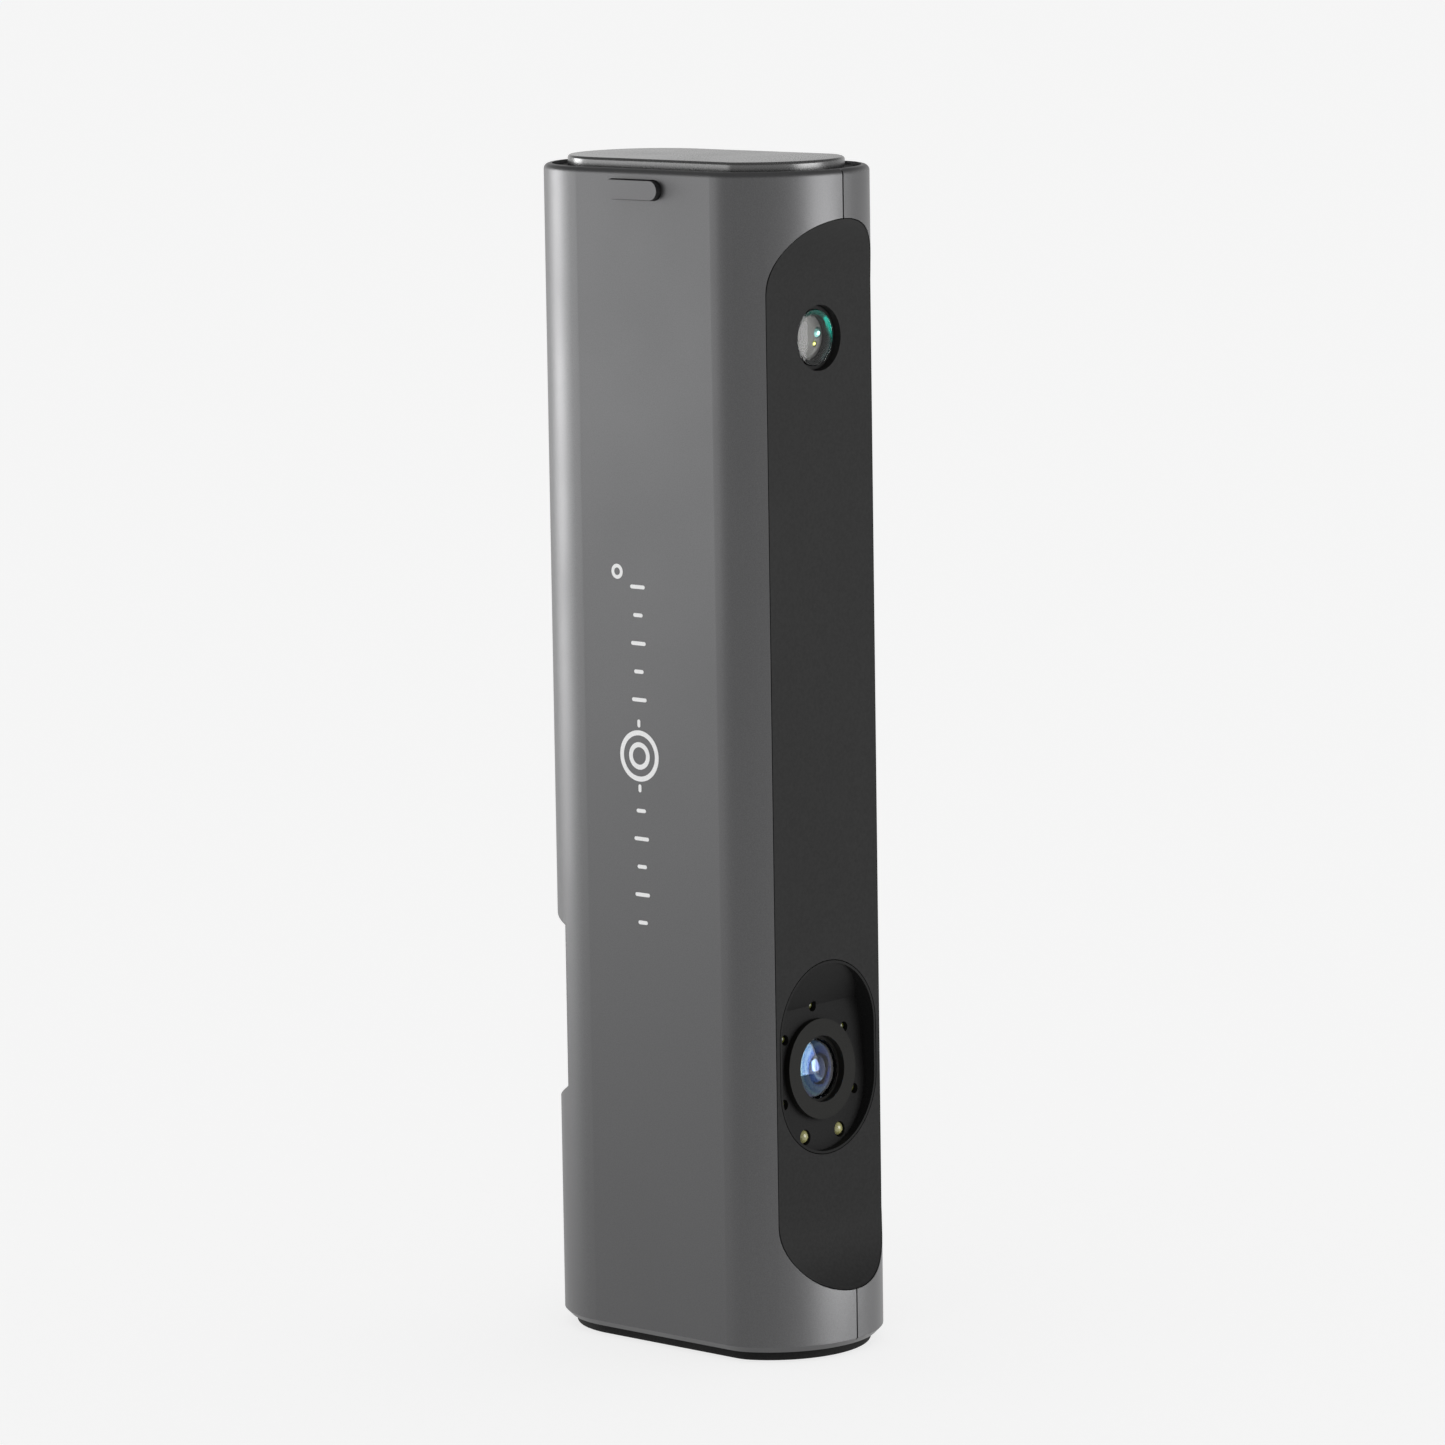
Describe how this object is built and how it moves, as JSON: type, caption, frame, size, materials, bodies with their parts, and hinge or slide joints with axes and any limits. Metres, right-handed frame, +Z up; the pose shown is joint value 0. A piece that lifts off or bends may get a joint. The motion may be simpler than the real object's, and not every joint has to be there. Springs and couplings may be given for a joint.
{
  "type": "handheld scanner",
  "caption": "Slim handheld 3-D scanner: tall rounded grey case, dark front window with a pattern projector above and a ringed camera below, press keys, and a saddle with a thread in the back.",
  "frame": {"origin": "middle of the body's outline on the underside of the foot", "axes": "+Z up the body, -Y out of the front window, +X to the right seen from the front"},
  "size_m": [0.0341, 0.0572, 0.19],
  "materials": {
    "case_plastic": "satin grey moulding with a fine metallic paint",
    "black_plastic": "black moulding, fine texture",
    "window_panel": "dark tinted panel, soft gloss",
    "gasket_rubber": "soft black",
    "foot_rubber": "soft black",
    "steel_screw": "plated",
    "black_metal": "black anodised",
    "coated_glass": "coated optical glass",
    "projector_glass": "frosted coated glass",
    "lamp_resin": "pale yellow resin",
    "chip_package": "moulded package",
    "sensor_silicon": "polished silicon",
    "circuit_board": "green solder mask",
    "flat_cable": "amber film",
    "cast_aluminium": "fine blasted",
    "anodised_plate": "dark anodised",
    "brass": "turned",
    "tinned_steel": "bright tinned",
    "switch_metal": "stamped",
    "key_plastic": "satin dark grey"
  },
  "bodies": {
    "case": {"board_screws": "steel_screw", "board_standoffs": "brass", "bottom_cover": "black_plastic", "bottom_foot": "foot_rubber", "bottom_screws": "steel_screw", "camera_barrel": "black_metal", "camera_bezel": "black_plastic", "camera_board": "circuit_board", "camera_cable": "flat_cable", "camera_front_lens": "coated_glass", "camera_mount": "black_plastic", "camera_rear_lens": "coated_glass", "frame_screws": "steel_screw", "front_window": "window_panel", "heat_sink": "cast_aluminium", "image_sensor": "sensor_silicon", "ir_filter": "coated_glass", "key_board": "circuit_board", "key_cable": "flat_cable", "key_panel": "black_plastic", "key_switches": "switch_metal", "led_board": "circuit_board", "led_chips": "chip_package", "led_lenses": "lamp_resin", "left_shell": "case_plastic", "lens_ring": "black_plastic", "main_board": "circuit_board", "memory_chips": "chip_package", "optical_frame": "cast_aluminium", "pattern_slide": "coated_glass", "processor": "chip_package", "projector_bezel": "black_plastic", "projector_board": "circuit_board", "projector_cable": "flat_cable", "projector_emitter": "chip_package", "projector_housing": "cast_aluminium", "projector_lens": "projector_glass", "projector_rear_lens": "coated_glass", "right_shell": "case_plastic", "saddle_plate": "anodised_plate", "saddle_screws": "steel_screw", "shield_can": "tinned_steel", "side_switch": "switch_metal", "side_switch_board": "circuit_board", "status_led": "chip_package", "status_light": "lamp_resin", "thermal_pad": "gasket_rubber", "thread_insert": "brass", "top_cover": "case_plastic", "top_gasket": "gasket_rubber", "usb_board": "circuit_board", "usb_cable": "flat_cable", "usb_receptacle": "tinned_steel", "usb_tongue": "black_plastic", "window_gasket": "gasket_rubber"},
    "side_button": {"side_key": "case_plastic"},
    "scan_button": {"scan_key": "key_plastic"},
    "plus_button": {"plus_key": "key_plastic"},
    "minus_button": {"minus_key": "key_plastic"}
  },
  "joints": [
    {"name": "side_press", "type": "slide", "parent": "case", "child": "side_button", "axis": [1, 0, 0], "range_m": [0, 0.0005], "stiffness_N_per_m": 800},
    {"name": "scan_press", "type": "slide", "parent": "case", "child": "scan_button", "axis": [0, -1, 0], "range_m": [0, 0.0006], "stiffness_N_per_m": 800},
    {"name": "plus_press", "type": "slide", "parent": "case", "child": "plus_button", "axis": [0, -1, 0], "range_m": [0, 0.0006], "stiffness_N_per_m": 800},
    {"name": "minus_press", "type": "slide", "parent": "case", "child": "minus_button", "axis": [0, -1, 0], "range_m": [0, 0.0006], "stiffness_N_per_m": 800}
  ]
}
